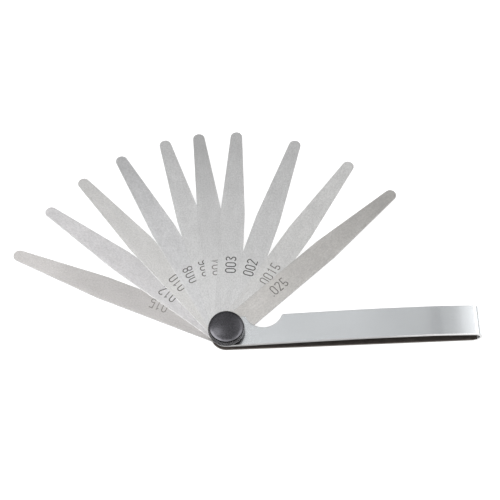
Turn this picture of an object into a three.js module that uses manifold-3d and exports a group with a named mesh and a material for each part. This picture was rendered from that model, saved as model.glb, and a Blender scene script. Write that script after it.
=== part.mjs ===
// A pocket feeler gauge: ten steel gauge blades that fan out of a folded sheet-steel case and turn on
// a barrel nut, under a knurled clamping screw.
//
// Millimetres. The origin is on the pivot axis, at the height of the surface the gauge lies on. +X
// runs along the case to its folded end, +Y points to the side with the thumb notch, and +Z points up
// to the screw's knob.

import * as THREE from 'three';
import { mergeVertices } from 'three/addons/utils/BufferGeometryUtils.js';
import Module from 'manifold-3d';

// ---- driving dimensions -----------------------------------------------------------------------

const INCH = 25.4;
const GAP = 0.01; // between flat faces that slide on each other
const RUNNING = 0.1; // radial clearance of a round hole on its shaft
const ROUND_STEPS = 60; // facets round a turned piece

// The case is one strip of sheet, folded into two leaves with open long sides. The clamp draws the
// leaves together at the pivot, and they spread between it and the fold. Each knot is a corner of a
// leaf's side view, eased over the length `ease` to both sides.
const SHEET = 0.95;
const CASE_HALF_WIDTH = 6.4;
const SEAT_END = 6.9; // the leaves are level round the pivot up to here
const FOLD = { x: 98.5, radius: 2.95, lean: THREE.MathUtils.degToRad(4.5) };
const LOWER_UNDERSIDE = [
  { x: SEAT_END, z: 0.22, ease: 0.8 },
  { x: 30, z: 0, ease: 4 },
  { x: FOLD.x, z: 0, ease: 1 },
];
const UPPER_UNDERSIDE = [
  { x: SEAT_END, z: 3.49, ease: 0.8 },
  { x: 20, z: 4.2, ease: 6 },
  { x: 58, z: 5.76, ease: 9 },
  { x: 83, z: 5.84, ease: 3 },
  { x: 94, z: 5.33, ease: 3.5 },
  {
    x: FOLD.x + FOLD.radius * Math.sin(FOLD.lean),
    z: FOLD.radius * (1 + Math.cos(FOLD.lean)) - SHEET,
    ease: 1,
  },
];
const FOLD_STEPS = 20;
const BOW_STEP = 3.5; // length of a facet along the bow

// The thumb notch is a round bite out of the +Y side of both leaves.
const NOTCH = { x: 15.1, y: 8.7, r: 7.65 };
const NOTCH_STEPS = 32;
const NOTCH_BREAK_NEAR = 0.5; // corner radius on the pivot's side
const NOTCH_BREAK_FAR = 1.3; // corner radius on the fold's side

// Each blade is parallel to its shoulder, then tapers straight to a round tip.
const BLADE = { halfWidth: 5.1, shoulder: 55.0, tipRadius: 2.45, reach: 95.0 };
const BLADE_ARC_STEPS = 14;

// Blade sizes in thousandths of an inch, from the bottom of the stack to the top, each with the
// angle from the case at which it stands when fanned out, in degrees.
const BLADES = [
  { mils: 15, name: 'blade_015', angle: 154.65, colour: 0xbdbcb9 },
  { mils: 12, name: 'blade_012', angle: 140.05, colour: 0xcbcac8 },
  { mils: 10, name: 'blade_010', angle: 128.35, colour: 0xc9c8c8 },
  { mils: 8, name: 'blade_008', angle: 116.65, colour: 0xbdbdbf },
  { mils: 6, name: 'blade_006', angle: 104.35, colour: 0xbcbcbc },
  { mils: 4, name: 'blade_004', angle: 95.35, colour: 0xb6b6b6 },
  { mils: 3, name: 'blade_003', angle: 85.45, colour: 0xbebebe },
  { mils: 2, name: 'blade_002', angle: 69.85, colour: 0xbfbfbf },
  { mils: 1.5, name: 'blade_0015', angle: 54.55, colour: 0xc6c5c5 },
  { mils: 25, name: 'blade_025', angle: 40.65, colour: 0xaeadaa },
];

// The barrel nut stands in the lower leaf on a low head, and the blades turn on its barrel.
const NUT = { head: 4.8, headBevel: 0.1, barrel: 3.0, floor: 0.5, top: 3.4 };
const STUD_RADIUS = 1.95;
const STUD_FOOT = 0.8;
const STUD_TOP = 8.2;

const STUD_HOLE = STUD_RADIUS + 3 * RUNNING; // in the upper leaf and the washer

// The washer and the knob stand on the upper leaf.
const SEAT_TOP = UPPER_UNDERSIDE[0].z + SHEET;
const WASHER = { outer: 5.9, thickness: 0.25 };
const KNOB = {
  bottomRadius: 6.6,
  radius: 7.42,
  wallTopRadius: 7.02,
  capRadius: 6.75,
  bevel: 1.6, // height of the bottom bevel
  wall: 3.86, // height at which the knurled wall ends
  shoulder: 4.29, // height at which the cap starts
  height: 5.38,
};
const DOME_STEPS = 9;

// ---- shaping helpers --------------------------------------------------------------------------

const wasm = await Module();
wasm.setup();

function welded(geometry) {
  const plain = geometry.clone();
  plain.deleteAttribute('normal');
  plain.deleteAttribute('uv');
  return mergeVertices(plain, 1e-5);
}

function solidOf(geometry) {
  const closed = welded(geometry);
  const mesh = new wasm.Mesh({
    numProp: 3,
    vertProperties: new Float32Array(closed.attributes.position.array),
    triVerts: new Uint32Array(closed.index.array),
  });
  return new wasm.Manifold(mesh);
}

function geometryOf(solid) {
  const mesh = solid.getMesh();
  const geometry = new THREE.BufferGeometry();
  geometry.setAttribute('position', new THREE.BufferAttribute(mesh.vertProperties, 3));
  geometry.setIndex(new THREE.BufferAttribute(mesh.triVerts, 1));
  geometry.computeVertexNormals();
  return geometry;
}

// A flat plate of the given outline, from z = bottom upwards.
function plate(shape, bottom, thickness) {
  const geometry = new THREE.ExtrudeGeometry(shape, {
    depth: thickness,
    bevelEnabled: false,
    curveSegments: 1,
  });
  return geometry.translate(0, 0, bottom);
}

// A piece turned about the pivot axis. The profile is a list of [radius, height], anticlockwise.
function turned(profile) {
  const points = profile.map(([r, z]) => new THREE.Vector2(r, z));
  return new THREE.LatheGeometry(points, ROUND_STEPS).rotateX(Math.PI / 2);
}

// Points on an arc, both ends included.
function arc(cx, cy, r, from, to, steps) {
  return Array.from({ length: steps + 1 }, (_, i) => {
    const a = from + ((to - from) * i) / steps;
    return new THREE.Vector2(cx + r * Math.cos(a), cy + r * Math.sin(a));
  });
}

function part(name, geometry, look) {
  const mesh = new THREE.Mesh(geometry, new THREE.MeshStandardMaterial(look));
  mesh.name = name;
  return mesh;
}

// ---- the case ---------------------------------------------------------------------------------

// A rising line of slope 1 that starts at 0, its corner eased over a length to both sides.
function easedRamp(distance, ease) {
  if (distance <= -ease) return 0;
  return distance < ease ? (distance + ease) ** 2 / (4 * ease) : distance;
}

// Height at x of the line through the knots, level before the first one.
function heightAt(knots, x) {
  let height = knots[0].z;
  let slope = 0;
  for (let i = 0; i + 1 < knots.length; i += 1) {
    const next = (knots[i + 1].z - knots[i].z) / (knots[i + 1].x - knots[i].x);
    height += (next - slope) * easedRamp(x - knots[i].x, knots[i].ease);
    slope = next;
  }
  return height;
}

// The strip's side view: along the lower leaf, round the fold and back along the upper leaf, which
// leans down to meet it.
function caseProfile() {
  const start = -CASE_HALF_WIDTH - 1;
  const steps = Math.round((FOLD.x - SEAT_END) / BOW_STEP);
  const leafX = [start];
  for (let i = 0; i < steps; i += 1) {
    leafX.push(SEAT_END + ((FOLD.x - SEAT_END) * i) / steps);
  }
  const leaf = (knots, rise) => leafX.map((x) => new THREE.Vector2(x, heightAt(knots, x) + rise));
  const turn = (r) =>
    arc(FOLD.x, FOLD.radius, r, -Math.PI / 2, Math.PI / 2 - FOLD.lean, FOLD_STEPS);
  return new THREE.Shape([
    ...leaf(LOWER_UNDERSIDE, 0),
    ...turn(FOLD.radius),
    ...leaf(UPPER_UNDERSIDE, SHEET).reverse(),
    ...leaf(UPPER_UNDERSIDE, 0),
    ...turn(FOLD.radius - SHEET).reverse(),
    ...leaf(LOWER_UNDERSIDE, SHEET).reverse(),
  ]);
}

// A corner of the notch, rounded between the case's straight side and the notch's arc. side is -1
// for the corner by the pivot and 1 for the one by the fold.
function notchCorner(side, radius) {
  const reach = NOTCH.r + radius;
  const drop = NOTCH.y - (CASE_HALF_WIDTH - radius);
  const offset = Math.sqrt(reach * reach - drop * drop);
  const angle = Math.atan2(drop, -side * offset);
  return {
    x: NOTCH.x + side * offset,
    y: CASE_HALF_WIDTH - radius,
    onSide: Math.PI / 2,
    onNotch: angle,
    notchAngle: angle - Math.PI,
  };
}

// The case seen from above.
function caseOutline() {
  const far = notchCorner(1, NOTCH_BREAK_FAR);
  const near = notchCorner(-1, NOTCH_BREAK_NEAR);
  const beyond = FOLD.x + FOLD.radius + 2;
  return new THREE.Shape([
    new THREE.Vector2(beyond, -CASE_HALF_WIDTH),
    new THREE.Vector2(beyond, CASE_HALF_WIDTH),
    ...arc(far.x, far.y, NOTCH_BREAK_FAR, far.onSide, far.onNotch, 8),
    ...arc(NOTCH.x, NOTCH.y, NOTCH.r, far.notchAngle, near.notchAngle, NOTCH_STEPS),
    ...arc(near.x, near.y, NOTCH_BREAK_NEAR, near.onNotch, near.onSide, 5),
    ...arc(0, 0, CASE_HALF_WIDTH, Math.PI / 2, (3 * Math.PI) / 2, ROUND_STEPS / 2),
  ]);
}

function makeCase() {
  const width = 2 * CASE_HALF_WIDTH + 2;
  const side = new THREE.ExtrudeGeometry(caseProfile(), {
    depth: width,
    bevelEnabled: false,
  });
  // The side view is drawn in X and Y; this stands it up in X and Z, centred on y = 0.
  side.rotateX(Math.PI / 2).translate(0, width / 2, 0);
  const outline = solidOf(plate(caseOutline(), -1, SEAT_TOP + 4));
  const middle = (LOWER_UNDERSIDE[0].z + UPPER_UNDERSIDE[0].z) / 2;
  const nutHole = solidOf(turned(cylinderProfile(NUT.barrel + RUNNING, -1, middle)));
  const studHole = solidOf(turned(cylinderProfile(STUD_HOLE, middle, SEAT_TOP + 1)));
  const solid = solidOf(side).intersect(outline).subtract(nutHole).subtract(studHole);
  return part('case', geometryOf(solid), { color: 0xc5c8cb, roughness: 0.3, metalness: 1 });
}

function cylinderProfile(radius, bottom, top) {
  return [[0, bottom], [radius, bottom], [radius, top], [0, top]];
}

// ---- the blades -------------------------------------------------------------------------------

function bladeOutline() {
  const { halfWidth, shoulder, tipRadius, reach } = BLADE;
  const tipX = reach - tipRadius;
  // The taper is the tangent from the shoulder to the tip's circle.
  const distance = Math.hypot(tipX - shoulder, halfWidth);
  const slope = Math.atan2(-halfWidth, tipX - shoulder) + Math.asin(tipRadius / distance);
  const meets = Math.PI / 2 + slope;
  return new THREE.Shape([
    new THREE.Vector2(shoulder, -halfWidth),
    ...arc(tipX, 0, tipRadius, -meets, meets, BLADE_ARC_STEPS),
    new THREE.Vector2(shoulder, halfWidth),
    ...arc(0, 0, halfWidth, Math.PI / 2, (3 * Math.PI) / 2, 2 * BLADE_ARC_STEPS),
  ]);
}

function makeBlades() {
  const group = new THREE.Group();
  const outline = bladeOutline();
  const hole = arc(0, 0, NUT.barrel + RUNNING, 0, 2 * Math.PI, 48).slice(1);
  outline.holes.push(new THREE.Path(hole.reverse()));
  let bottom = LOWER_UNDERSIDE[0].z + SHEET + GAP;
  for (const { mils, name, angle, colour } of BLADES) {
    const thickness = (mils * INCH) / 1000;
    const look = { color: colour, roughness: 0.4, metalness: 1 };
    const blade = part(name, plate(outline, 0, thickness), look);
    blade.position.z = bottom;
    blade.rotation.z = THREE.MathUtils.degToRad(angle);
    group.add(blade);
    bottom += thickness + GAP;
  }
  return group;
}

// ---- the clamp --------------------------------------------------------------------------------

// Blind tapped nut with a low round head under the lower leaf.
function makeBarrelNut() {
  const headTop = LOWER_UNDERSIDE[0].z - GAP;
  const bore = STUD_RADIUS + RUNNING;
  const profile = [
    [0, 0],
    [NUT.head - NUT.headBevel, 0],
    [NUT.head, NUT.headBevel],
    [NUT.head, headTop],
    [NUT.barrel, headTop],
    [NUT.barrel, NUT.top],
    [bore, NUT.top],
    [bore, NUT.floor],
    [0, NUT.floor],
  ];
  return part('barrel_nut', turned(profile), { color: 0xa9a9a6, roughness: 0.35, metalness: 1 });
}

function makeWasher() {
  const bottom = SEAT_TOP + GAP;
  const top = bottom + WASHER.thickness;
  const profile = [
    [STUD_HOLE, bottom],
    [WASHER.outer, bottom],
    [WASHER.outer, top],
    [STUD_HOLE, top],
    [STUD_HOLE, bottom],
  ];
  return part('clamp_washer', turned(profile), { color: 0x55565a, roughness: 0.4, metalness: 1 });
}

// Height of the knob's domed top above its flat bottom, at a radius inside the cap.
function domeAt(radius) {
  const share = radius / KNOB.capRadius;
  return KNOB.shoulder + (KNOB.height - KNOB.shoulder) * Math.sqrt(1 - share ** 2.6);
}

function makeKnob() {
  const bottom = SEAT_TOP + WASHER.thickness + 2 * GAP;
  const bore = STUD_RADIUS + RUNNING;
  const dome = Array.from({ length: DOME_STEPS }, (_, i) => {
    const radius = KNOB.capRadius * Math.cos(((i + 1) / DOME_STEPS) * (Math.PI / 2));
    return [radius, bottom + domeAt(radius)];
  });
  dome[DOME_STEPS - 1][0] = 0;
  const profile = [
    [0, STUD_TOP + GAP],
    [bore, STUD_TOP + GAP],
    [bore, bottom],
    [KNOB.bottomRadius, bottom],
    [KNOB.radius, bottom + KNOB.bevel],
    [KNOB.wallTopRadius, bottom + KNOB.wall],
    [KNOB.capRadius, bottom + KNOB.shoulder],
    ...dome,
  ];
  return part('knob', turned(profile), { color: 0x2e2d30, roughness: 0.45, metalness: 0.8 });
}

function makeStud() {
  const bevel = 0.4;
  const profile = [
    [0, STUD_FOOT],
    [STUD_RADIUS - bevel, STUD_FOOT],
    [STUD_RADIUS, STUD_FOOT + bevel],
    [STUD_RADIUS, STUD_TOP],
    [0, STUD_TOP],
  ];
  return part('knob_stud', turned(profile), { color: 0x3a393c, roughness: 0.4, metalness: 0.9 });
}

// ---- the gauge --------------------------------------------------------------------------------

const gauge = new THREE.Group();
gauge.add(makeCase());
gauge.add(makeBarrelNut());
gauge.add(makeBlades());
gauge.add(makeWasher());
gauge.add(makeStud());
gauge.add(makeKnob());

export default gauge;
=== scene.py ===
"""Looks for the feeler gauge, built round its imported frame.

Z is up, and the pivot axis is at the origin. Meshes are made in millimetres and linked in metres."""

import math

import bmesh
import bpy
from mathutils import Matrix, Vector
from mathutils.geometry import tessellate_polygon


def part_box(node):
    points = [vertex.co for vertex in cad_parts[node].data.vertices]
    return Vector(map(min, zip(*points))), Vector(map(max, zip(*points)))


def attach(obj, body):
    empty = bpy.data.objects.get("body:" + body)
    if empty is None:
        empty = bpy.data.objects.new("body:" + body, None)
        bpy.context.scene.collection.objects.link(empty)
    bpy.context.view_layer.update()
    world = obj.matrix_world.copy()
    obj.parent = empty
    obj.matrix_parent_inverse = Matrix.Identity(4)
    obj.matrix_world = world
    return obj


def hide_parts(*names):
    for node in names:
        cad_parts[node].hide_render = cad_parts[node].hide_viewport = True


MM = 0.001
TAU = 2 * math.pi
TINY = 1e-9
WHITE = (1, 1, 1)
# Offsets grow by one over the mitre at a corner, and these keep the sharpest ones from running out.
LEAST_MITRE = 0.3
LEAST_STROKE_MITRE = 0.55

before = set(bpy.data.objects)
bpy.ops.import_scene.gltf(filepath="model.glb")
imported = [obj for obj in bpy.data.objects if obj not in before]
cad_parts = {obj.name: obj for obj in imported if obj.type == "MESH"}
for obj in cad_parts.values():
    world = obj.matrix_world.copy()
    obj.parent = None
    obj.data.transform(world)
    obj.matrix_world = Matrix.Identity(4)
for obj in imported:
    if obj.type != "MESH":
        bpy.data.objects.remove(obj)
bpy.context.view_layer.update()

# ---- sizes that the frame doesn't state, in millimetres ------------------------------------------

RUNNING = 0.1  # clearance between parts that turn
TOUCH_GAP = 0.01  # between pieces that touch
SHEET = 0.95  # thickness of the case's sheet
SEAT_END = 6.9  # the leaves are level round the pivot up to here
FOLD_X = 98.5  # the fold's middle
FOLD_RADIUS = 2.95
FOLD_LEAN = math.radians(4.5)  # of the upper leaf where it meets the fold
# Corners of each leaf's side view: place, height of the underside, length of the easing.
LOWER_UNDERSIDE = [(SEAT_END, 0.22, 0.8), (30, 0, 4), (FOLD_X, 0, 1)]
UPPER_END = FOLD_X + FOLD_RADIUS * math.sin(FOLD_LEAN)  # where the upper leaf meets the fold
FOLD_LENGTH = (math.pi - FOLD_LEAN) * FOLD_RADIUS  # round its outside
UPPER_UNDERSIDE = [
    (SEAT_END, 3.49, 0.8),
    (20, 4.2, 6),
    (58, 5.76, 9),
    (83, 5.84, 3),
    (94, 5.33, 3.5),
    (UPPER_END, FOLD_RADIUS * (1 + math.cos(FOLD_LEAN)) - SHEET, 1),
]
OUTER_RIM = 0.3  # rounding of the strip's rims
INNER_RIM = 0.1
FOLD_PAINTED_SHADE_END = 0.2  # share of the fold, from each end, whose inside is painted dark like the leaves', as painted shade
LOWER_EDGE_SHADE_START = 0.02  # from this depth in the sheet, the lower leaf's edge is painted dark as shade
OUTER_RIM_NICKEL = 0.7 * OUTER_RIM  # the notched side's outer rim is nickel to this depth
LEAF_CUTS = 46  # the strip is cut across into this many pieces a leaf
FOLD_CUTS = 40
NOTCH_CENTRE = Vector((15.1, 8.7))
NOTCH_RADIUS = 7.65
NOTCH_BREAK_NEAR = 0.5  # rounding of its corner by the pivot
NOTCH_BREAK_FAR = 1.3
BLADE_HALF_WIDTH = 5.1
BLADE_SHOULDER = 55.0
BLADE_TIP_RADIUS = 2.45
BLADE_REACH = 95.0
THICK_BLADE = 0.3  # blades over this have the wider rounded rims
THICK_BLADE_RIM = 0.08
THIN_BLADE_RIM = 0.03
THIN_BLADE_RIM_SHARE = 0.3  # of the blade's thickness, at most
BARREL_RADIUS = 3.0
STUD_RADIUS = 1.95
STUD_HOLE = STUD_RADIUS + 3 * RUNNING
NUT_HEAD_RADIUS = 4.8
NUT_FLOOR = 0.5
# The knob's profile, heights above its flat bottom.
KNOB_BOTTOM_RADIUS = 6.6
KNOB_RADIUS = 7.42
KNOB_WALL_TOP_RADIUS = 7.02
KNOB_CAP_RADIUS = 6.75
KNOB_BEVEL = 1.6
KNOB_WALL = 3.86
KNOB_SHOULDER = 4.29
KNOB_SIDE = KNOB_BOTTOM_RADIUS - 0.2  # faces outside this, under the cap, are the knob's side
KNOB_FOOT = (0.1, 0.06)  # the bottom's chamfer: across and up
BORE_CHAMFER = 0.2
GROOVE_DEPTH = 0.12  # of the groove between wall and cap
GROOVE_BOTTOM = KNOB_WALL + 0.14
GROOVE_TOP = KNOB_SHOULDER - 0.1
STUD_TOP = 8.2
DOME_SLOPE = math.radians(10.5)  # of the cap's shallow dome where its shoulder starts
DOME_SHOULDER = 1.45  # width of the cap's rounded shoulder
DOME_RINGS = 12
SHOULDER_RINGS = 16
KNURL_TEETH = 56
KNURL_DEPTH = 0.17
KNURL_SAMPLES = 8  # mesh points across one tooth
CREST = "crest"  # attribute, height on the knurl: 0 in a groove and 1 on a point
# Mesh edges round circles and along arcs.
CASE_HOLE_STEPS = 64
CASE_END_STEPS = 40
NOTCH_STEPS = 40
NOTCH_NEAR_STEPS = 6
NOTCH_FAR_STEPS = 8
BLADE_HOLE_STEPS = 72
BLADE_END_STEPS = 48
BLADE_TIP_STEPS = 36
TURNED_STEPS = 96
CORNER_STEPS = 3

# Node, marking and angle from the case of each blade, from the bottom of the stack to the top, then
# the marking's centre (distance from the pivot, then how far to the anticlockwise side), its
# reflectance, and the blade's near the pivot, at the shoulder and at the tip, which paint shade and
# highlight along the blade.
BLADES = [
    ("blade_015", ".015", 154.65, (30.4, -1.3), 0.2, (0.552, 0.537, 0.607)),
    ("blade_012", ".012", 140.05, (29.9, 0.25), 0.08, (0.652, 0.640, 0.646)),
    ("blade_010", ".010", 128.35, (30.5, 0.1), 0.1, (0.672, 0.650, 0.602)),
    ("blade_008", ".008", 116.65, (30.5, 0), 0.1, (0.663, 0.642, 0.513)),
    ("blade_006", ".006", 104.35, (31.0, 0), 0.1, (0.670, 0.645, 0.559)),
    ("blade_004", ".004", 95.35, (30.3, 0), 0.16, (0.678, 0.610, 0.481)),
    ("blade_003", "003", 85.45, (31.0, -0.3), 0.03, (0.641, 0.627, 0.541)),
    ("blade_002", "002", 69.85, (31.0, 0), 0.03, (0.645, 0.622, 0.565)),
    ("blade_0015", ".0015", 54.55, (31.8, -0.1), 0.14, (0.647, 0.654, 0.647)),
    ("blade_025", ".025", 40.65, (29.45, 0.75), 0.12, (0.605, 0.540, 0.444)),
]
STROKE = 0.4  # the markings' strokes
DIGIT_HEIGHT = 4.4
DIGIT_WIDTH = 2.1
DIGIT_PITCH = 2.7
DOT_PITCH = 1.25
DOT_START = 0.3
DOT_SIZE = 0.45
FLAT = 0.0005  # a face within this of a plate's top or bottom is part of its flat
MARK_RISE = 0.006  # of the marking over the blade, less than the gap to the next blade

# ---- tones ---------------------------------------------------------------------------------------

CASE_TINT = (0.80, 0.825, 0.845)
# Painted shade: the near-black colour of the case's inside and the lower leaf's edge, where the gap
# between the leaves lies in shadow.
INSIDE_PAINTED_SHADE_TINT = (0.13, 0.115, 0.105)
BLADE_TINTS = {
    "blade_015": (1.0, 0.97, 0.955),
    "blade_012": (1.0, 0.985, 0.995),
    "blade_010": (1.0, 0.99, 0.975),
    "blade_008": (0.99, 0.99, 1.0),
    "blade_0015": (1.0, 0.995, 0.985),
    "blade_025": (1.0, 0.975, 0.945),
}
BLADE_PAINTED_LIGHT_PLACES = (0.16, 0.58, 0.95)  # shares of the reach that a blade's three reflectances, painted shade and highlight, are for
# Reflectance of a blade's cut edge, and a brighter one, a painted highlight, on the edges of blades
# that catch more light.
EDGE_TONE = 0.34
PAINTED_HIGHLIGHT_EDGE_TONES = {"blade_012": 0.52, "blade_010": 0.43, "blade_008": 0.42}
KNURL_WEAR_AND_PAINTED_LIGHT = [(0.0, 0.004), (0.45, 0.01), (0.66, 0.09), (0.86, 0.7)]  # height on the knurl, reflectance; near black low down as painted shade, bright on the points as wear and painted highlight
# The ceiling's brightness against its direction's X, from left to right.
CEILING = [(-0.4, 0.84), (-0.02, 0.68), (0.07, 0.64), (0.205, 0.34), (0.28, 1.15), (0.6, 1.2)]


def box_mm(name):
    """Lowest and highest corner of a CAD node, in millimetres."""
    low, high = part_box(name)
    return low / MM, high / MM


HALF_WIDTH = box_mm("case")[1].y  # of the case's leaves


# ---- outlines and meshes -------------------------------------------------------------------------


def arc(centre, radius, start, end, steps):
    """Points on an arc, both ends included."""
    cx, cy = centre
    angles = [start + (end - start) * i / steps for i in range(steps + 1)]
    return [Vector((cx + radius * math.cos(a), cy + radius * math.sin(a))) for a in angles]


def circle(radius, steps, centre=(0, 0)):
    """An anticlockwise ring of points, the first one not repeated."""
    return arc(centre, radius, 0, TAU, steps)[:-1]


def inset(points, distance):
    """An anticlockwise outline moved inwards by a distance, corner by corner."""
    moved = []
    for i, here in enumerate(points):
        before = (here - points[i - 1]).normalized()
        after = (points[(i + 1) % len(points)] - here).normalized()
        normal = Vector((-before.y - after.y, before.x + after.x))
        if normal.length < TINY:
            normal = Vector((-before.y, before.x))
        normal.normalize()
        mitre = max(LEAST_MITRE, normal.dot(Vector((-before.y, before.x))))
        moved.append(here + normal * (distance / mitre))
    return moved


def edge_steps(bottom, top, low_rim, high_rim, steps):
    """(inset, height) pairs up the side of a plate whose two rims are rounded."""
    quarter = [math.pi / 2 * i / steps for i in range(steps + 1)]
    low = [(low_rim * (1 - math.sin(a)), bottom + low_rim * (1 - math.cos(a))) for a in quarter]
    high = [(high_rim * (1 - math.sin(a)), top - high_rim * (1 - math.cos(a))) for a in quarter]
    return low + high[::-1]


def link_object(name, data):
    made = bpy.data.objects.new(name, data)
    bpy.context.scene.collection.objects.link(made)
    return made


def new_object(name, bm, place=None):
    """Links a bmesh in millimetres as an object in metres, with an optional place of its own."""
    bm.transform(Matrix.Scale(MM, 4))
    mesh = bpy.data.meshes.new(name)
    bm.to_mesh(mesh)
    bm.free()
    made = link_object(name, mesh)
    if place is not None:
        made.matrix_world = place
    return made


def add_plate(bm, outline, holes, bottom, top, low_rim, high_rim, steps=2):
    """Adds a flat plate with rounded rims. Outline and holes are anticlockwise lists of points."""
    levels = edge_steps(bottom, top, low_rim, high_rim, steps)
    caps = {0: [], len(levels) - 1: []}
    for loop, side in [(outline, 1)] + [(hole, -1) for hole in holes]:
        rings = []
        for distance, height in levels:
            points = inset(loop, side * distance)
            rings.append([bm.verts.new((p.x, p.y, height)) for p in points])
        for low, high in zip(rings, rings[1:]):
            for i in range(len(low)):
                j = (i + 1) % len(low)
                quad = (low[i], low[j], high[j], high[i])
                face = bm.faces.new(quad if side > 0 else quad[::-1])
                face.smooth = True
        for level in caps:
            caps[level].append(rings[level])
    for level, loops in caps.items():
        verts = [v for loop in loops for v in loop]
        for corners in tessellate_polygon([[v.co for v in loop] for loop in loops]):
            face = bm.faces.new([verts[i] for i in corners])
            face.smooth = True
            face.normal_update()
            if (face.normal.z > 0) != (level > 0):
                face.normal_flip()


def add_turned(bm, profile, steps, radius_at=None):
    """Adds a piece turned about the Z axis. The profile is a closed list of (radius, height),
    anticlockwise; radius_at(radius, height, angle) may shape it further."""
    rings = []
    for radius, height in profile:
        if radius < TINY:
            rings.append([bm.verts.new((0, 0, height))] * steps)
            continue
        ring = []
        for i in range(steps):
            angle = TAU * i / steps
            r = radius if radius_at is None else radius_at(radius, height, angle)
            ring.append(bm.verts.new((r * math.cos(angle), r * math.sin(angle), height)))
        rings.append(ring)
    for low, high in zip(rings, rings[1:] + rings[:1]):
        for i in range(steps):
            j = (i + 1) % steps
            corners = []
            for v in (low[i], low[j], high[j], high[i]):
                if v not in corners:
                    corners.append(v)
            if len(corners) > 2:
                bm.faces.new(corners).smooth = True


def rounded(profile, rims):
    """A profile with its corners rounded; rims maps a corner's index to its radius."""
    made = []
    for i, corner in enumerate(profile):
        radius = rims.get(i, 0)
        if not radius:
            made.append(corner)
            continue
        here = Vector(corner)
        before = (Vector(profile[i - 1]) - here).normalized()
        after = (Vector(profile[(i + 1) % len(profile)]) - here).normalized()
        half = before.angle(after) / 2
        reach = radius / math.tan(half)
        centre = here + (before + after).normalized() * (radius / math.sin(half))
        start = (here + before * reach - centre).normalized()
        end = (here + after * reach - centre).normalized()
        for k in range(CORNER_STEPS + 1):
            made.append(tuple(centre + start.slerp(end, k / CORNER_STEPS) * radius))
    return made


def even_normals(made):
    """Keeps a plate's flat faces flat in shading, beside rims that are rounded."""
    weighted = made.modifiers.new("flat faces", "WEIGHTED_NORMAL")
    weighted.mode = "FACE_AREA"
    weighted.weight = 100
    weighted.keep_sharp = False


# ---- materials -----------------------------------------------------------------------------------


def shader(name, **sockets):
    """A new material with its Principled shader's plain values set."""
    material = bpy.data.materials.new(name)
    material.use_nodes = True
    principled = material.node_tree.nodes["Principled BSDF"]
    for socket, value in sockets.items():
        principled.inputs[socket.replace("_", " ")].default_value = value
    return material, material.node_tree, principled


def node(tree, kind, inputs=None, **settings):
    """A new node; an input's value may be another node's output, which is then linked."""
    made = tree.nodes.new(kind)
    for name, value in settings.items():
        setattr(made, name, value)
    for name, value in (inputs or {}).items():
        if isinstance(value, bpy.types.NodeSocket):
            tree.links.new(value, made.inputs[name])
        else:
            made.inputs[name].default_value = value
    return made


def map_range(tree, value, source, target, interpolation="LINEAR"):
    """Maps a value from the source's range to the target's."""
    made = node(
        tree,
        "ShaderNodeMapRange",
        {
            "Value": value,
            "From Min": source[0],
            "From Max": source[1],
            "To Min": target[0],
            "To Max": target[1],
        },
        interpolation_type=interpolation,
    )
    return made.outputs["Result"]


def colour_ramp(tree, value, stops, interpolation="LINEAR"):
    """Greys at places from 0 to 1."""
    made = node(tree, "ShaderNodeValToRGB", {"Fac": value})
    ramp = made.color_ramp
    ramp.interpolation = interpolation
    while len(ramp.elements) < len(stops):
        ramp.elements.new(0.5)
    for element, (place, tone) in zip(ramp.elements, stops):
        element.position = place
        element.color = (tone, tone, tone, 1)
    return made.outputs["Color"]


def own_coordinates(tree):
    return node(tree, "ShaderNodeTexCoord").outputs["Object"]


def length_wise(tree):
    """The piece's own X."""
    return node(tree, "ShaderNodeSeparateXYZ", {"Vector": own_coordinates(tree)}).outputs["X"]


def noise(tree, scale, detail=2.0, roughness=0.5):
    """Noise in the piece's own coordinates; scale is in cycles per metre along each axis."""
    mapped = node(tree, "ShaderNodeMapping", {"Vector": own_coordinates(tree), "Scale": scale})
    made = node(
        tree,
        "ShaderNodeTexNoise",
        {"Vector": mapped.outputs["Vector"], "Scale": 1.0, "Detail": detail, "Roughness": roughness},
    )
    return made.outputs["Fac"]


def spread(tree, value, low, high):
    """Maps noise, which keeps near 0.5, to a range."""
    return map_range(tree, value, (0.3, 0.7), (low, high))


def product(tree, *factors):
    """The product of values, each a number or a node's output."""
    result = factors[0]
    for factor in factors[1:]:
        made = node(tree, "ShaderNodeMath", {0: result, 1: factor}, operation="MULTIPLY")
        result = made.outputs[0]
    return result


def set_roughness(tree, principled, value, low, high):
    tree.links.new(spread(tree, value, low, high), principled.inputs["Roughness"])


def bump(tree, principled, height, distance):
    """Raises the surface by a height map; distance is in metres."""
    made = node(tree, "ShaderNodeBump", {"Height": height, "Distance": distance, "Strength": 1.0})
    tree.links.new(made.outputs["Normal"], principled.inputs["Normal"])


def tinted(tree, principled, tint, shade):
    """Base colour: a tint scaled by a varying shade."""
    made = node(tree, "ShaderNodeVectorMath", {0: tint, "Scale": shade}, operation="SCALE")
    tree.links.new(made.outputs[0], principled.inputs["Base Color"])


def blade_steel(name, painted_light_tones, tint):
    """Ground spring steel; its tone follows the blade's length, which is the piece's own X, as painted
    shade and highlight.
    """
    material, tree, principled = shader(name, Metallic=1.0)
    share = product(tree, length_wise(tree), 1 / (BLADE_REACH * MM))
    # Painted light: this ramp makes each blade lighter or darker along its length.
    tone = colour_ramp(tree, share, list(zip(BLADE_PAINTED_LIGHT_PLACES, painted_light_tones)), "EASE")
    grain = noise(tree, (260, 5200, 5200), 3.0, 0.6)
    speck = noise(tree, (1500, 1900, 1900), 4.0, 0.7)
    cloud = noise(tree, (110, 190, 190), 3.0)
    shade = product(
        tree,
        tone,
        spread(tree, grain, 0.96, 1.04),
        spread(tree, speck, 0.85, 1.15),
        spread(tree, cloud, 0.955, 1.045),
    )
    tinted(tree, principled, tint, shade)
    set_roughness(tree, principled, speck, 0.30, 0.42)
    bump(tree, principled, grain, 0.0000025)
    return material


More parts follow.
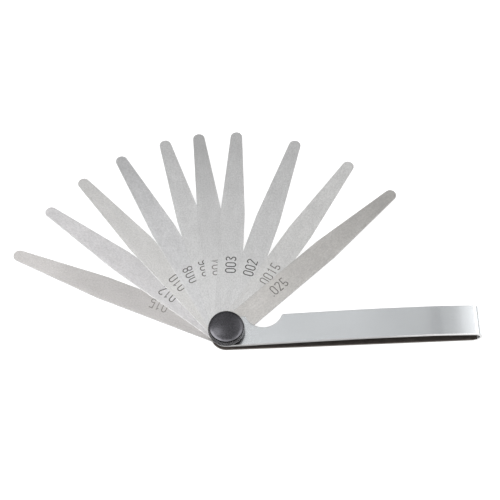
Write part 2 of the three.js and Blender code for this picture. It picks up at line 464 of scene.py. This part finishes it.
def case_steel(name):
    """Satin nickel on smooth sheet, brushed along the case."""
    material, tree, principled = shader(name, Metallic=1.0)
    brush = noise(tree, (70, 4200, 4200), 3.0, 0.6)
    fine = noise(tree, (2400, 3200, 3200), 3.0, 0.65)
    cloud = noise(tree, (45, 110, 110), 2.0)
    shade = product(
        tree,
        spread(tree, brush, 0.985, 1.01),
        spread(tree, cloud, 0.975, 1.015),
        spread(tree, fine, 0.97, 1.02),
    )
    tinted(tree, principled, CASE_TINT, shade)
    set_roughness(tree, principled, fine, 0.13, 0.21)
    bump(tree, principled, brush, 0.0000012)
    return material


def dark_steel(name, tint, roughness):
    """Dark, finely mottled steel: oxide-blackened on the washer, painted shade on the case's inside,
    and the given tone of the blades' cut edges.
    """
    material, tree, principled = shader(name, Metallic=1.0)
    speck = noise(tree, (2200, 2200, 2200), 4.0, 0.7)
    cloud = noise(tree, (260, 260, 260), 2.0)
    shade = product(tree, spread(tree, speck, 0.75, 1.25), spread(tree, cloud, 0.88, 1.12))
    tinted(tree, principled, tint, shade)
    set_roughness(tree, principled, speck, *roughness)
    bump(tree, principled, speck, 0.000006)
    return material


def cut_edge(name):
    """The strip's cut edge: dull, darkened along the leaf as painted shade, and brighter towards the
    fold as a painted highlight.
    """
    material, tree, principled = shader(name, Metallic=1.0)
    # Painted light: the edge's tone rises along the case towards the fold.
    tone = map_range(tree, length_wise(tree), (0.05, 0.096), (0.32, 0.64), "SMOOTHSTEP")
    scratch = noise(tree, (500, 900, 5200), 3.0, 0.65)
    tinted(tree, principled, WHITE, product(tree, tone, spread(tree, scratch, 0.88, 1.12)))
    set_roughness(tree, principled, scratch, 0.42, 0.58)
    bump(tree, principled, scratch, 0.000004)
    return material


def turned_steel(name, tint, roughness):
    """Plain turned steel, with fine rings round the Z axis."""
    material, tree, principled = shader(name, Metallic=1.0)
    flat = node(
        tree, "ShaderNodeVectorMath", {0: own_coordinates(tree), 1: (1, 1, 0)}, operation="MULTIPLY"
    )
    radius = node(tree, "ShaderNodeVectorMath", {0: flat.outputs[0]}, operation="LENGTH")
    rings = node(
        tree,
        "ShaderNodeTexNoise",
        {"W": product(tree, radius.outputs["Value"], 9000.0), "Scale": 1.0, "Detail": 2.0},
        noise_dimensions="1D",
    ).outputs["Fac"]
    speck = noise(tree, (2400, 2400, 2400), 3.0, 0.6)
    shade = product(tree, spread(tree, rings, 0.95, 1.04), spread(tree, speck, 0.96, 1.04))
    tinted(tree, principled, tint, shade)
    set_roughness(tree, principled, speck, *roughness)
    bump(tree, principled, rings, 0.000003)
    return material


def cap_oxide(name):
    """Black oxide on a turned and tumbled cap."""
    material, tree, principled = shader(name, Metallic=1.0)
    speck = noise(tree, (1500, 1500, 1500), 4.0, 0.7)
    cloud = noise(tree, (300, 300, 300), 2.0)
    shade = product(tree, spread(tree, speck, 0.068, 0.094), spread(tree, cloud, 0.9, 1.1))
    tinted(tree, principled, (0.98, 0.965, 1.06), shade)
    set_roughness(tree, principled, speck, 0.22, 0.34)
    bump(tree, principled, speck, 0.000006)
    return material


def knurl_oxide(name):
    """Black oxide: near black in the knurl's grooves and below it as painted shade, and bright on its
    points, partly as wear and partly as a painted highlight.
    """
    material, tree, principled = shader(name, Metallic=1.0)
    speck = noise(tree, (900, 900, 900), 3.0, 0.7)
    crest = node(tree, "ShaderNodeAttribute", attribute_name=CREST).outputs["Fac"]
    # The ramp paints shade into the grooves, and a highlight along with wear onto the points.
    shade = product(tree, colour_ramp(tree, crest, KNURL_WEAR_AND_PAINTED_LIGHT), spread(tree, speck, 0.6, 1.4))
    tinted(tree, principled, (1.0, 0.985, 1.03), shade)
    set_roughness(tree, principled, speck, 0.3, 0.45)
    bump(tree, principled, speck, 0.000006)
    return material


def marking_ink(name, tone):
    """Etched numbers: dull, brownish grey."""
    material, tree, principled = shader(name, Metallic=0.6)
    speck = noise(tree, (5000, 5000, 5000), 3.0, 0.6)
    tinted(tree, principled, (tone, 0.95 * tone, 0.90 * tone), spread(tree, speck, 0.7, 1.3))
    set_roughness(tree, principled, speck, 0.5, 0.7)
    return material


# ---- the case ------------------------------------------------------------------------------------


def eased_ramp(distance, ease):
    """A rising line of slope 1 that starts at 0, its corner eased over a length to both sides."""
    if distance <= -ease:
        return 0.0
    return (distance + ease) ** 2 / (4 * ease) if distance < ease else distance


def height_at(knots, x):
    """Height at x of the line through the knots, level before the first one."""
    height = knots[0][1]
    slope = 0.0
    for (x0, z0, ease), (x1, z1, _) in zip(knots, knots[1:]):
        following = (z1 - z0) / (x1 - x0)
        height += (following - slope) * eased_ramp(x - x0, ease)
        slope = following
    return height


def notch_corner(side, radius):
    """A rounded corner of the notch: its centre, and its angles on the case's side, on the notch,
    and round the notch's centre. side is -1 by the pivot and 1 by the fold."""
    reach = NOTCH_RADIUS + radius
    drop = NOTCH_CENTRE.y - (HALF_WIDTH - radius)
    offset = math.sqrt(reach * reach - drop * drop)
    angle = math.atan2(drop, -side * offset)
    return (NOTCH_CENTRE.x + side * offset, HALF_WIDTH - radius), math.pi / 2, angle, angle - math.pi


def notch_side():
    """The notched side of a leaf, from the fold's side to the pivot's."""
    far, far_side, far_notch, far_arc = notch_corner(1, NOTCH_BREAK_FAR)
    near, near_side, near_notch, near_arc = notch_corner(-1, NOTCH_BREAK_NEAR)
    return (
        arc(far, NOTCH_BREAK_FAR, far_side, far_notch, NOTCH_FAR_STEPS)
        + arc(NOTCH_CENTRE, NOTCH_RADIUS, far_arc, near_arc, NOTCH_STEPS)[1:-1]
        + arc(near, NOTCH_BREAK_NEAR, near_notch, near_side, NOTCH_NEAR_STEPS)
    )


def strip_outline():
    """The case's strip, flat. Its length runs from the lower leaf's end to the upper leaf's, and is 0
    where the fold starts."""
    lower = [Vector((p.x - FOLD_X, p.y)) for p in notch_side()]
    upper = [Vector((FOLD_LENGTH + UPPER_END - p.x, p.y)) for p in reversed(notch_side())]
    quarter = math.pi / 2
    right = arc((FOLD_LENGTH + UPPER_END, 0), HALF_WIDTH, -quarter, quarter, CASE_END_STEPS)
    left = arc((-FOLD_X, 0), HALF_WIDTH, quarter, 3 * quarter, CASE_END_STEPS)
    return right + upper + lower + left


def folded(point):
    """Where a point of the flat strip lies on the case. Height 0 on the strip is its outside."""
    along, y, depth = point
    if along < 0:
        x = FOLD_X + along
        return Vector((x, y, height_at(LOWER_UNDERSIDE, x) + depth))
    if along > FOLD_LENGTH:
        x = UPPER_END - (along - FOLD_LENGTH)
        return Vector((x, y, height_at(UPPER_UNDERSIDE, x) + SHEET - depth))
    angle = along / FOLD_RADIUS - math.pi / 2
    radius = FOLD_RADIUS - depth
    return Vector((FOLD_X + radius * math.cos(angle), y, FOLD_RADIUS + radius * math.sin(angle)))


def strip_finish(centre):
    """Index of the case's material for a face of the flat strip: 0 nickel, 1 dark as painted shade, 2
    cut edge.
    """
    inside = centre.z > SHEET - INNER_RIM
    bend = FOLD_PAINTED_SHADE_END < centre.x / FOLD_LENGTH < 1 - FOLD_PAINTED_SHADE_END
    lower_edge_shade = centre.x < 0 and centre.z > LOWER_EDGE_SHADE_START
    far_rim = centre.z < OUTER_RIM_NICKEL and centre.y > 0
    # The leaves' insides, the ends of the fold's inside and the lower leaf's edge get the dark
    # material, as painted shade.
    if (inside and not bend) or lower_edge_shade:
        return 1
    return 0 if inside or centre.z < FLAT or far_rim else 2


def build_case():
    """The case is one flat strip, cut across, finished face by face, and then folded."""
    bm = bmesh.new()
    holes = [
        circle(BARREL_RADIUS + RUNNING, CASE_HOLE_STEPS, (-FOLD_X, 0)),
        circle(STUD_HOLE, CASE_HOLE_STEPS, (FOLD_LENGTH + UPPER_END, 0)),
    ]
    add_plate(bm, strip_outline(), holes, 0, SHEET, OUTER_RIM, INNER_RIM, 4)
    leaf = [SEAT_END + (FOLD_X - SEAT_END) * i / LEAF_CUTS for i in range(LEAF_CUTS)]
    cuts = [x - FOLD_X for x in leaf] + [FOLD_LENGTH + UPPER_END - x for x in leaf]
    cuts += [FOLD_LENGTH * i / FOLD_CUTS for i in range(FOLD_CUTS + 1)]
    for cut in cuts:
        everything = bm.verts[:] + bm.edges[:] + bm.faces[:]
        bmesh.ops.bisect_plane(
            bm, geom=everything, plane_co=(cut, 0, 0), plane_no=(1, 0, 0), dist=1e-4
        )
    for face in bm.faces:
        face.smooth = True
        face.material_index = strip_finish(face.calc_center_median())
    for vert in bm.verts:
        vert.co = folded(vert.co)
    # Folding turns the strip over, so its faces turn round to look outwards.
    bmesh.ops.recalc_face_normals(bm, faces=bm.faces)
    case = new_object("folded_case", bm)
    case.data.materials.append(case_steel("case_satin_nickel"))
    # The dark inside material is painted shade for the shadowed gap between the leaves.
    case.data.materials.append(dark_steel("case_inside_painted_shade", INSIDE_PAINTED_SHADE_TINT, (0.4, 0.55)))
    case.data.materials.append(cut_edge("case_cut_edge"))
    even_normals(case)
    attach(case, "holder")
    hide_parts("case")


# ---- the blades ----------------------------------------------------------------------------------


def blade_outline():
    """A blade along +X. Its taper is the tangent from the shoulder to the tip's circle."""
    tip_x = BLADE_REACH - BLADE_TIP_RADIUS
    taper = tip_x - BLADE_SHOULDER
    distance = math.hypot(taper, BLADE_HALF_WIDTH)
    slope = math.atan2(-BLADE_HALF_WIDTH, taper) + math.asin(BLADE_TIP_RADIUS / distance)
    meets = math.pi / 2 + slope
    return (
        [Vector((BLADE_SHOULDER, -BLADE_HALF_WIDTH))]
        + arc((tip_x, 0), BLADE_TIP_RADIUS, -meets, meets, BLADE_TIP_STEPS)
        + [Vector((BLADE_SHOULDER, BLADE_HALF_WIDTH))]
        + arc((0, 0), BLADE_HALF_WIDTH, math.pi / 2, 3 * math.pi / 2, BLADE_END_STEPS)
    )


def oval(cx, cy, across, up, steps=28):
    """A closed line; its first point isn't repeated."""
    angles = [TAU * i / steps for i in range(steps)]
    return [Vector((cx + across * math.cos(a), cy + up * math.sin(a))) for a in angles]


def glyph_lines(char):
    """A digit's centre lines, measured from the lower left end of the space its strokes' middles
    keep to. A closed line doesn't repeat its first point."""
    w = DIGIT_WIDTH - STROKE
    h = DIGIT_HEIGHT - STROKE
    r = w / 2

    def bow(cx, cy, radius, start, end, steps):
        return arc((cx, cy), radius, math.radians(start), math.radians(end), steps)

    def points(*pairs):
        return [Vector(pair) for pair in pairs]

    if char == "0":
        return [bow(r, h - r, r, 0, 180, 16) + bow(r, r, r, 180, 360, 16)]
    if char == "1":
        return [points((0.25 * w, 0.8 * h), (0.62 * w, h), (0.62 * w, 0))]
    if char == "2":
        return [bow(r, h - r, r, 170, -35, 14) + points((0, 0), (w, 0))]
    if char == "3":
        top, low = 0.46 * w, 0.5 * w
        waist = points((0.4 * w, h - 2 * top))
        return [
            bow(r, h - top, top, 160, -90, 14) + waist,
            waist + bow(r, low, low, 90, -160, 14),
        ]
    if char == "4":
        return [points((w, 0.27 * h), (0, 0.27 * h), (0.7 * w, h), (0.7 * w, 0))]
    if char == "5":
        low = 0.5 * w
        flag = points((0.95 * w, h), (0.12 * w, h), (0.05 * w, 2 * low - 0.1 * w))
        return [flag + bow(r, low, low, 130, -155, 16)]
    if char == "6":
        low = 0.3 * h
        return [oval(r, low, r, low), bow(r, h - r, r, 40, 180, 12) + points((0, low))]
    if char == "8":
        top, low = h / 4 - 0.02, h / 4 + 0.02
        return [oval(r, h - top, 0.92 * r, top), oval(r, low, r, low)]
    raise ValueError(f"no outline for {char}")


def add_stroke(bm, line, closed, bottom, top):
    """Adds a stroke of even width along a line, as one closed plate."""
    if closed:
        area = sum(a.x * b.y - b.x * a.y for a, b in zip(line, line[1:] + line[:1]))
        line = line if area > 0 else line[::-1]
        add_plate(bm, inset(line, -STROKE / 2), [inset(line, STROKE / 2)], bottom, top, 0, 0, 1)
        return
    clean = [line[0]]
    for point in line[1:]:
        if (point - clean[-1]).length > STROKE / 20:
            clean.append(point)
    sides = {1: [], -1: []}
    for i, here in enumerate(clean):
        before = (here - clean[max(i - 1, 0)]).normalized() if i else (clean[1] - here).normalized()
        after = (clean[i + 1] - here).normalized() if i + 1 < len(clean) else before
        normal = Vector((-before.y - after.y, before.x + after.x)).normalized()
        mitre = max(LEAST_STROKE_MITRE, normal.dot(Vector((-before.y, before.x))))
        reach = STROKE / 2 / mitre
        for side in sides:
            sides[side].append(here + normal * reach * side)
    add_plate(bm, sides[-1] + sides[1][::-1], [], bottom, top, 0, 0, 1)


def add_marking(bm, text, centre, side, top):
    """Adds a marking that reads away from the pivot, its digits' heads on the anticlockwise side. The
    centre is that of the digits, without the point before them."""
    dotted = text.startswith(".")
    digits = (len(text) - dotted) * DIGIT_PITCH - (DIGIT_PITCH - DIGIT_WIDTH)
    start = centre - digits / 2
    low, high = top - MARK_RISE, top + MARK_RISE
    if dotted:
        corner = Vector((start - DOT_PITCH + DOT_START, side - DIGIT_HEIGHT / 2))
        square = [(0, 0), (DOT_SIZE, 0), (DOT_SIZE, DOT_SIZE), (0, DOT_SIZE)]
        add_plate(bm, [corner + Vector(offset) for offset in square], [], low, high, 0, 0, 1)
    for char in text[dotted:]:
        corner = Vector((start + STROKE / 2, side - (DIGIT_HEIGHT - STROKE) / 2))
        for i, line in enumerate(glyph_lines(char)):
            closed = char in "08" or (char == "6" and i == 0)
            add_stroke(bm, [point + corner for point in line], closed, low, high)
        start += DIGIT_PITCH


def build_blade(name, text, angle, mark_centre, mark_tone, painted_light_tones):
    """A blade and its marking, made along +X and then turned to their place in the fan."""
    low, high = box_mm(name)
    thickness = high.z - low.z
    if thickness > THICK_BLADE:
        rim = THICK_BLADE_RIM
    else:
        rim = min(THIN_BLADE_RIM, THIN_BLADE_RIM_SHARE * thickness)
    place = Matrix.Rotation(math.radians(angle), 4, "Z")
    bm = bmesh.new()
    hole = circle(BARREL_RADIUS + RUNNING, BLADE_HOLE_STEPS)
    add_plate(bm, blade_outline(), [hole], low.z, high.z, rim, rim, 2)
    for face in bm.faces:
        on_edge = low.z + FLAT < face.calc_center_median().z < high.z - FLAT
        face.material_index = 1 if on_edge else 0
    leaf = new_object(name.replace("blade", "leaf"), bm, place)
    leaf.data.materials.append(blade_steel(f"{name}_steel", painted_light_tones, BLADE_TINTS.get(name, WHITE)))
    # Some blades get a brighter edge tone, a painted highlight on edges that catch more light.
    edge = PAINTED_HIGHLIGHT_EDGE_TONES.get(name, EDGE_TONE)
    leaf.data.materials.append(dark_steel(f"{name}_edge", (edge, edge, edge), (0.4, 0.55)))
    even_normals(leaf)
    marks = bmesh.new()
    add_marking(marks, text, *mark_centre, high.z)
    marking = new_object(name.replace("blade", "marking"), marks, place)
    marking.data.materials.append(marking_ink(f"{name}_marking", mark_tone))
    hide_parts(name)
    for piece in (leaf, marking):
        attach(piece, name)


# ---- the clamp -----------------------------------------------------------------------------------


def build_nut():
    low, high = box_mm("barrel_nut")
    head_top = LOWER_UNDERSIDE[0][1] - TOUCH_GAP
    bore = STUD_RADIUS + RUNNING
    profile = [
        (0, low.z),
        (NUT_HEAD_RADIUS, low.z),
        (NUT_HEAD_RADIUS, head_top),
        (BARREL_RADIUS, head_top),
        (BARREL_RADIUS, high.z),
        (bore, high.z),
        (bore, NUT_FLOOR),
        (0, NUT_FLOOR),
    ]
    bm = bmesh.new()
    add_turned(bm, rounded(profile, {1: 0.25, 2: 0.05, 4: 0.15, 5: 0.15}), TURNED_STEPS)
    nut = new_object("pivot_nut", bm)
    nut.data.materials.append(turned_steel("nut_steel", (0.62, 0.615, 0.60), (0.25, 0.36)))
    even_normals(nut)
    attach(nut, "holder")
    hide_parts("barrel_nut")


def build_washer():
    low, high = box_mm("clamp_washer")
    profile = [(STUD_HOLE, low.z), (high.x, low.z), (high.x, high.z), (STUD_HOLE, high.z)]
    bm = bmesh.new()
    add_turned(bm, rounded(profile, {1: 0.06, 2: 0.06}), TURNED_STEPS)
    washer = new_object("thin_washer", bm)
    washer.data.materials.append(dark_steel("washer_dark", (0.10, 0.10, 0.105), (0.3, 0.45)))
    even_normals(washer)
    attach(washer, "washer")
    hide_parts("clamp_washer")


def triangle(value):
    """0 at whole numbers and 1 half way between them."""
    return 1 - abs(2 * (value % 1) - 1)


def cap_profile(bottom, height):
    """The cap's (radius, height) pairs from its edge inwards: a rounded shoulder, then a shallow
    parabola. The shoulder's arc runs from the dome's slope to the cap's edge, and takes up the rest
    of the rise."""
    start = KNOB_CAP_RADIUS - DOME_SHOULDER
    dome_drop = start * math.tan(DOME_SLOPE) / 2
    rise = height - KNOB_SHOULDER - dome_drop
    edge_slope = 2 * math.atan(rise / DOME_SHOULDER) - DOME_SLOPE
    arc_radius = DOME_SHOULDER / (math.sin(edge_slope) - math.sin(DOME_SLOPE))
    cap = []
    for i in range(1, SHOULDER_RINGS + 1):
        slope = edge_slope + (DOME_SLOPE - edge_slope) * i / SHOULDER_RINGS
        radius = KNOB_CAP_RADIUS - arc_radius * (math.sin(edge_slope) - math.sin(slope))
        up = arc_radius * (math.cos(slope) - math.cos(edge_slope))
        cap.append((radius, bottom + KNOB_SHOULDER + up))
    for i in range(DOME_RINGS - 1, -1, -1):
        share = i / DOME_RINGS
        cap.append((start * share, bottom + height - dome_drop * share**2))
    return cap


def wall_radius(share):
    """Radius of the knob's wall over the knurl's points, at a share of the wall's height."""
    return KNOB_RADIUS + (KNOB_WALL_TOP_RADIUS - KNOB_RADIUS) * share


def build_knob():
    low, high = box_mm("knob")
    bottom = low.z
    wall_low, wall_high = bottom + KNOB_BEVEL, bottom + KNOB_WALL
    wall_height = KNOB_WALL - KNOB_BEVEL
    pitch = TAU * (KNOB_RADIUS + KNOB_WALL_TOP_RADIUS) / 2 / KNURL_TEETH
    rows = round(wall_height / pitch * KNURL_SAMPLES)
    shares = [i / rows for i in range(rows + 1)]
    wall = [(wall_radius(share), wall_low + wall_height * share) for share in shares]
    bore = STUD_RADIUS + RUNNING
    bore_top = STUD_TOP + TOUCH_GAP
    groove = KNOB_CAP_RADIUS - GROOVE_DEPTH
    foot_across, foot_up = KNOB_FOOT
    profile = [
        (0, bore_top),
        (bore, bore_top),
        (bore, bottom + BORE_CHAMFER),
        (bore + BORE_CHAMFER, bottom),
        (KNOB_BOTTOM_RADIUS - foot_across, bottom),
        (KNOB_BOTTOM_RADIUS, bottom + foot_up),
        *wall,
        (groove, bottom + GROOVE_BOTTOM),
        (groove, bottom + GROOVE_TOP),
        (KNOB_CAP_RADIUS, bottom + KNOB_SHOULDER),
        *cap_profile(bottom, high.z - low.z),
    ]

    def knurled(radius, z, angle):
        if not wall_low - TINY <= z <= wall_high + TINY or radius < KNOB_CAP_RADIUS:
            return radius
        across = angle / TAU * KNURL_TEETH
        up = (z - wall_low) / pitch
        peak = min(triangle(across + up), triangle(across - up))
        return radius - KNURL_DEPTH * (1 - peak)

    bm = bmesh.new()
    add_turned(bm, profile, KNURL_TEETH * KNURL_SAMPLES, knurled)
    # Off the knurled wall the crest is 0, so the knob's side there, its groove under the cap and its
    # foot, is painted near black as shade.
    crest = bm.verts.layers.float.new(CREST)
    for vert in bm.verts:
        radius = vert.co.xy.length
        on_wall = wall_low <= vert.co.z <= wall_high and radius > KNOB_CAP_RADIUS
        surface = wall_radius((vert.co.z - wall_low) / wall_height)
        vert[crest] = 1 - (surface - radius) / KNURL_DEPTH if on_wall else 0
    for face in bm.faces:
        middle = face.calc_center_median()
        on_side = bottom < middle.z < bottom + KNOB_SHOULDER and middle.xy.length > KNOB_SIDE
        face.material_index = 1 if on_side else 0
    knob = new_object("knurled_knob", bm)
    knob.data.materials.append(cap_oxide("knob_cap_oxide"))
    knob.data.materials.append(knurl_oxide("knob_knurl_oxide"))
    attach(knob, "screw")
    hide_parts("knob")


def finish_stud():
    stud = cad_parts["knob_stud"]
    stud.data.materials.clear()
    stud.data.materials.append(turned_steel("stud_steel", (0.25, 0.25, 0.26), (0.3, 0.4)))


# ---- camera, floor and light ---------------------------------------------------------------------

CAMERA_AZIMUTH, CAMERA_ELEVATION, CAMERA_ROLL = map(math.radians, (-1.477, 61.335, -1.003))
CAMERA_TARGET = Vector((10.918, 38.799, 0))
CAMERA_DISTANCE = 676.1
CAMERA_FOCUS = 1643.6 / 500  # focal length over sensor width
SENSOR_WIDTH = 36
LIT_CENTRE = Vector((0, 0.03, 0))  # metres; the softboxes face it
FLOOR_SIZE = 2000
FLOOR_BASE = 0.25
FLOOR_GLOW = 0.82


def add_camera():
    camera = link_object("camera", bpy.data.cameras.new("camera"))
    level = math.cos(CAMERA_ELEVATION)
    back = Vector(
        (
            math.sin(CAMERA_AZIMUTH) * level,
            -math.cos(CAMERA_AZIMUTH) * level,
            math.sin(CAMERA_ELEVATION),
        )
    )
    camera.location = CAMERA_TARGET * MM + back * CAMERA_DISTANCE * MM
    camera.rotation_mode = "QUATERNION"
    aim = (-back).to_track_quat("-Z", "Y")
    camera.rotation_quaternion = aim @ Matrix.Rotation(CAMERA_ROLL, 4, "Z").to_quaternion()
    camera.data.sensor_width = SENSOR_WIDTH
    camera.data.lens = SENSOR_WIDTH * CAMERA_FOCUS
    camera.data.clip_start = 0.01
    bpy.context.scene.camera = camera


def add_softbox(name, direction, distance, size, radiance):
    """A rectangular area light that faces the gauge. Direction is that of the light as seen from
    there, and distance and size are in metres."""
    light = bpy.data.lights.new(name, "AREA")
    light.shape = "RECTANGLE"
    light.size, light.size_y = size
    light.energy = radiance * math.pi * size[0] * size[1]
    lamp = link_object(name, light)
    towards = Vector(direction).normalized()
    lamp.location = LIT_CENTRE + towards * distance
    lamp.rotation_mode = "QUATERNION"
    lamp.rotation_quaternion = (-towards).to_track_quat("-Z", "Y")
    lamp.visible_camera = False


def add_world():
    """A white studio: bright round the horizon in front, dimmer behind, and a ceiling that dims to
    the right."""
    world = bpy.data.worlds.new("studio")
    bpy.context.scene.world = world
    world.use_nodes = True
    tree = world.node_tree
    coords = node(tree, "ShaderNodeTexCoord")
    parts = node(tree, "ShaderNodeSeparateXYZ", {"Vector": coords.outputs["Generated"]}).outputs
    stops = [((direction + 1) / 2, tone) for direction, tone in CEILING]
    ceiling = colour_ramp(tree, map_range(tree, parts["X"], (-1, 1), (0, 1)), stops, "EASE")
    horizon = map_range(tree, parts["Y"], (0, 0.7), (1.0, 0.35), "SMOOTHSTEP")
    height = map_range(tree, parts["Z"], (0.45, 0.75), (0, 1), "SMOOTHSTEP")
    level = node(tree, "ShaderNodeMix", {"Factor": height, "A": horizon, "B": ceiling})
    background = tree.nodes["Background"]
    tree.links.new(level.outputs["Result"], background.inputs["Strength"])
    background.inputs["Color"].default_value = (1, 1, 1, 1)


def add_floor():
    """A white floor that partly glows, so that it stays white in the photo's view."""
    bm = bmesh.new()
    bmesh.ops.create_grid(bm, x_segments=1, y_segments=1, size=FLOOR_SIZE)
    floor = new_object("floor", bm)
    floor.location.z = box_mm("case")[0].z * MM
    material, _, principled = shader("floor_white", Roughness=0.9, Emission_Strength=FLOOR_GLOW)
    principled.inputs["Base Color"].default_value = (FLOOR_BASE, FLOOR_BASE, FLOOR_BASE, 1)
    principled.inputs["Emission Color"].default_value = (1, 1, 1, 1)
    floor.data.materials.append(material)


add_camera()
build_case()
for blade in BLADES:
    build_blade(*blade)
build_nut()
build_washer()
build_knob()
finish_stud()
add_floor()
add_world()
add_softbox("softbox_left", (-0.72, -0.17, 0.67), 1.3, (1.1, 1.0), 4.3)
add_softbox("softbox_front", (-0.1, -0.58, 0.81), 1.3, (1.0, 0.7), 2.4)
add_softbox("softbox_right", (0.74, -0.16, 0.65), 1.3, (0.9, 0.8), 2.6)
add_softbox("softbox_fold", (0.68, 0.44, 0.58), 1.3, (0.85, 0.8), 1.0)
add_softbox("softbox_top", (-0.28, 0.21, 0.94), 1.4, (0.34, 0.34), 3.4)
bpy.context.scene.view_settings.view_transform = "Standard"
